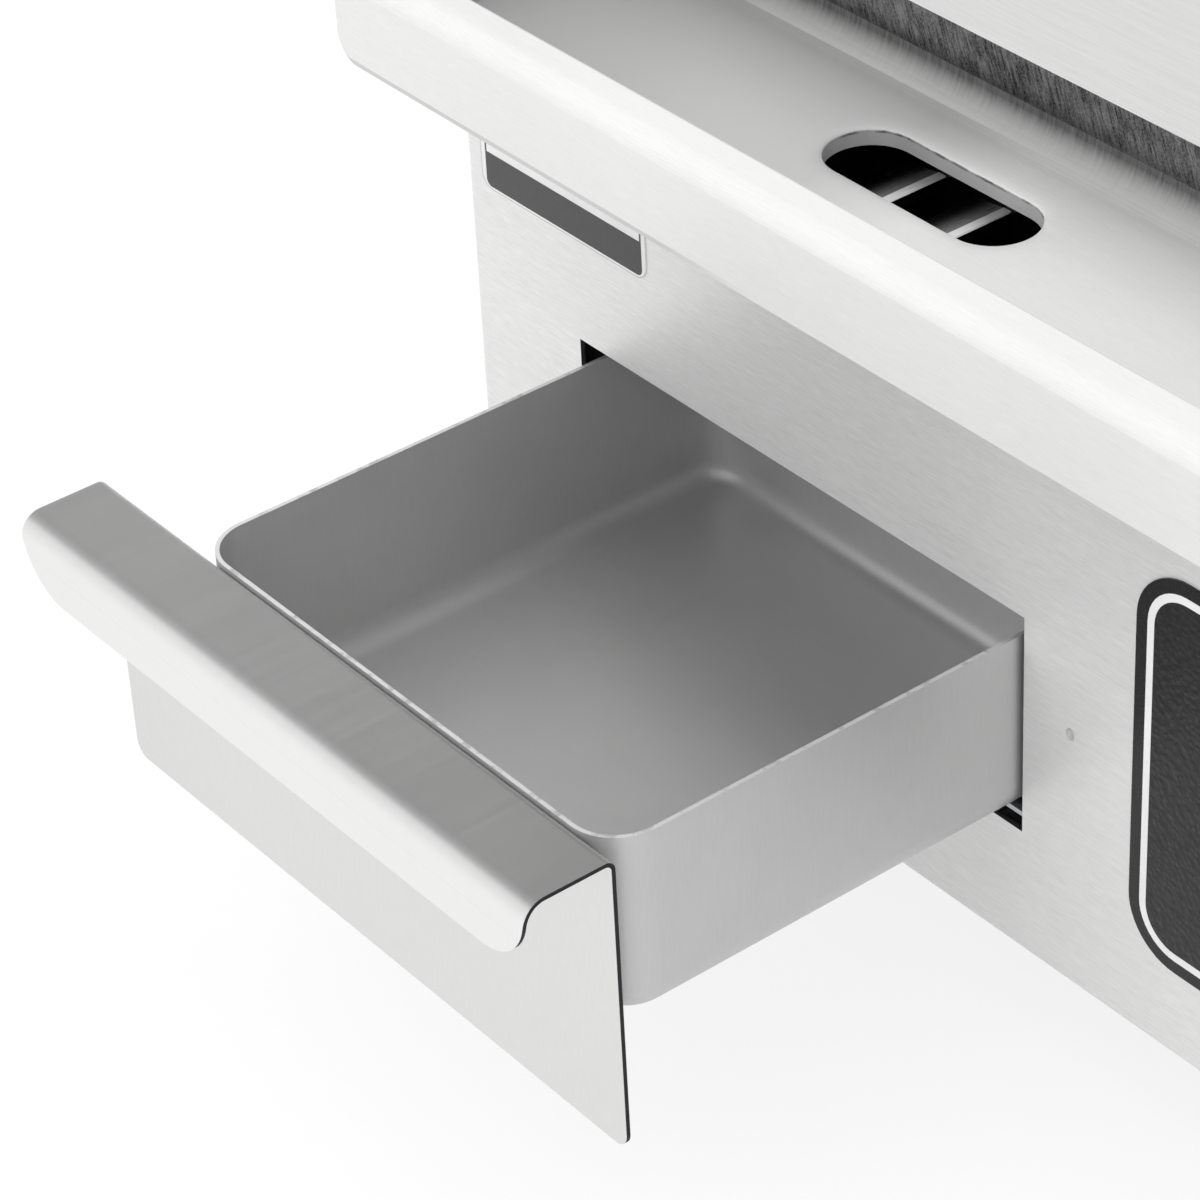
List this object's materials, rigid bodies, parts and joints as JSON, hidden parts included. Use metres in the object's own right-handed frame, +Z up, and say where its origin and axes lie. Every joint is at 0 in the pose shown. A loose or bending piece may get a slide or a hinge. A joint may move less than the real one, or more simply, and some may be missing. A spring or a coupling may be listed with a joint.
{
  "type": "commercial electric griddle",
  "caption": "Countertop electric griddle: thick steel plate in a stainless body, splash guard, front grease trough with drain slot, sliding grease drawer, thermostat knob, rubber feet.",
  "frame": {"origin": "centre of the bounding box at floor level, under the feet, with the grease drawer pulled out as at rest", "axes": "+Z up, front panel, lip and drawer towards -Y, controls towards +X"},
  "size_m": [0.5532, 0.5506, 0.2423],
  "materials": {
    "stainless_body": "horizontal brushed grain",
    "stainless_tray": "fine brushed grain along the lip",
    "griddle_steel": "ground cooking face, rough cut edges",
    "stainless_drawer": "brushed grain, bare cut edges",
    "galvanised": "plain zinc coating",
    "black_enamel": "gloss black",
    "overlay_black": "leather grain",
    "label_white": "plain printed film",
    "knob_black": "moulded, slightly worn gloss",
    "pointer_white": "paint filled",
    "shaft_steel": "turned",
    "thermostat_case": "moulded cream",
    "copper": "drawn copper",
    "plain_steel": "rolled",
    "lamp_plastic": "moulded black",
    "lens_green": "clear green",
    "lens_amber": "clear amber",
    "element_sheath": "annealed, dull",
    "ceramic_wool": "fibre blanket",
    "nylon_black": "moulded nylon",
    "rubber_black": "matt moulded rubber",
    "fastener_steel": "plated"
  },
  "bodies": {
    "body": {"splash_guard": "stainless_body", "front_panel": "stainless_body", "body_shell": "stainless_body", "top_tray": "stainless_tray", "griddle_plate": "griddle_steel", "base_plate": "galvanised", "guide_rail_left": "galvanised", "guide_rail_right": "galvanised", "rail_bracket": "galvanised", "heat_shield": "galvanised", "drain_chute": "black_enamel", "control_overlay": "overlay_black", "blank_label": "label_white", "plate_studs": "shaft_steel", "earth_stud": "shaft_steel", "thermostat_body": "thermostat_case", "terminal_block": "thermostat_case", "thermostat_bulb": "copper", "bulb_clip": "plain_steel", "clamp_bars": "plain_steel", "clamp_nuts": "plain_steel", "shield_nuts": "plain_steel", "earth_nut": "plain_steel", "high_limit_cutout": "plain_steel", "lamp_power": "lamp_plastic", "lamp_heat": "lamp_plastic", "lens_power": "lens_green", "lens_heat": "lens_amber", "heating_element_left": "element_sheath", "heating_element_right": "element_sheath", "insulation_blanket": "ceramic_wool", "cable_gland": "nylon_black", "gland_nut": "nylon_black", "foot_front_left": "rubber_black", "foot_back_left": "rubber_black", "foot_front_right": "rubber_black", "foot_back_right": "rubber_black", "foot_screws": "fastener_steel", "foot_nuts": "fastener_steel", "base_screws": "fastener_steel", "shell_screws": "fastener_steel", "thermostat_screws": "fastener_steel"},
    "drawer": {"drawer_pan": "stainless_drawer", "drawer_front": "stainless_drawer"},
    "knob": {"knob_body": "knob_black", "knob_pointer": "pointer_white", "thermostat_shaft": "shaft_steel"}
  },
  "joints": [
    {"name": "drawer_slide", "type": "slide", "parent": "body", "child": "drawer", "axis": [0, -1, 0], "range_m": [-0.1098, 0.033]},
    {"name": "knob_turn", "type": "hinge", "parent": "body", "child": "knob", "pos_m": [0.0936, -0.16, 0.1071], "axis": [0, 1, 0], "range_deg": [0, 300]}
  ]
}
